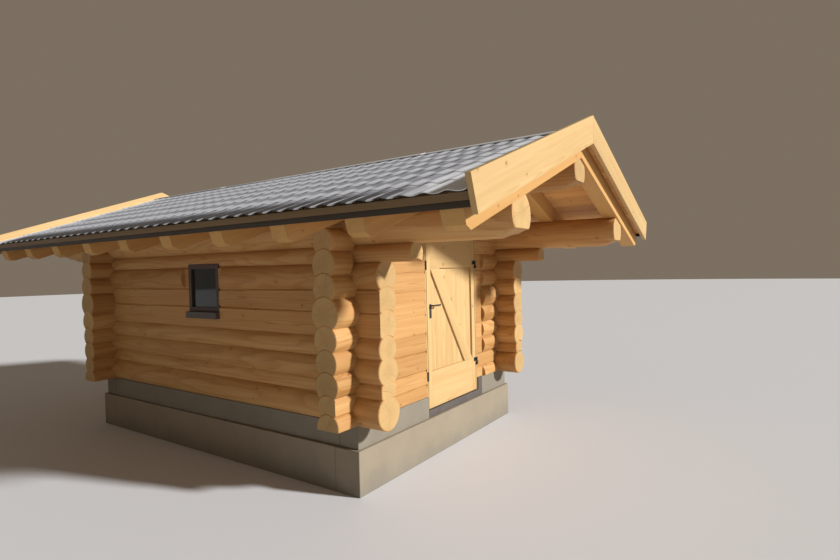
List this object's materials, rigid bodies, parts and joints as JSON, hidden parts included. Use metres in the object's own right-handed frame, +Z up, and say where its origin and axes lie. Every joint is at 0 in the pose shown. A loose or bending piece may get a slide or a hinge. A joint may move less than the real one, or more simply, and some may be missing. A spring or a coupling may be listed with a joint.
{
  "type": "round-log hut",
  "caption": "Small round-log hut with saddle-notched walls on a concrete plinth, a low gable roof reaching out over a boarded door, and a small window in each long wall.",
  "frame": {"origin": "on the ground, under the middle of the roof's outline", "axes": "+Z up, -Y to the front gable with the door, +X to the right seen from the front"},
  "size_m": [4.734, 7.15, 3.3204],
  "materials": {
    "round_logs": "peeled pale spruce, unfinished",
    "sawn_timber": "sawn and planed pale spruce, unfinished",
    "roof_metal": "dark grey coated sheet, matt",
    "concrete": null,
    "dark_sill": "dark sealed board",
    "dark_frame": "dark stained wood",
    "black_iron": "black coated iron",
    "glass": "clear double glazing"
  },
  "bodies": {
    "hut": {"footing_ends": "concrete", "footing_sides": "concrete", "plinth_front": "concrete", "plinth_back": "concrete", "plinth_sides": "concrete", "floor_slab": "concrete", "door_threshold": "dark_sill", "left_wall_logs": "round_logs", "right_wall_logs": "round_logs", "front_wall_logs": "round_logs", "back_wall_logs": "round_logs", "door_lintel_log": "round_logs", "front_gable_logs": "round_logs", "back_gable_logs": "round_logs", "left_eave_log": "round_logs", "right_eave_log": "round_logs", "ridge_log": "round_logs", "left_rafters": "sawn_timber", "right_rafters": "sawn_timber", "left_roof_boards": "sawn_timber", "right_roof_boards": "sawn_timber", "roof_battens": "sawn_timber", "left_roof_sheet": "roof_metal", "right_roof_sheet": "roof_metal", "ridge_cap": "roof_metal", "front_barge_boards": "sawn_timber", "back_barge_boards": "sawn_timber", "eave_boards": "sawn_timber", "door_jambs": "sawn_timber", "door_head": "sawn_timber", "door_keeps": "black_iron", "frame_hinges": "black_iron", "left_window_frame": "dark_frame", "right_window_frame": "dark_frame", "left_window_glass": "glass", "right_window_glass": "glass", "window_sills": "dark_sill"},
    "door": {"door_stiles": "sawn_timber", "door_rails": "sawn_timber", "door_panel": "sawn_timber", "door_brace": "sawn_timber", "door_handle": "black_iron", "leaf_hinges": "black_iron"}
  },
  "joints": [
    {"name": "door_hinge", "type": "hinge", "parent": "hut", "child": "door", "pos_m": [0.7175, -1.945, 1.409], "axis": [0, 0, 1], "range_deg": [0, 110]}
  ]
}
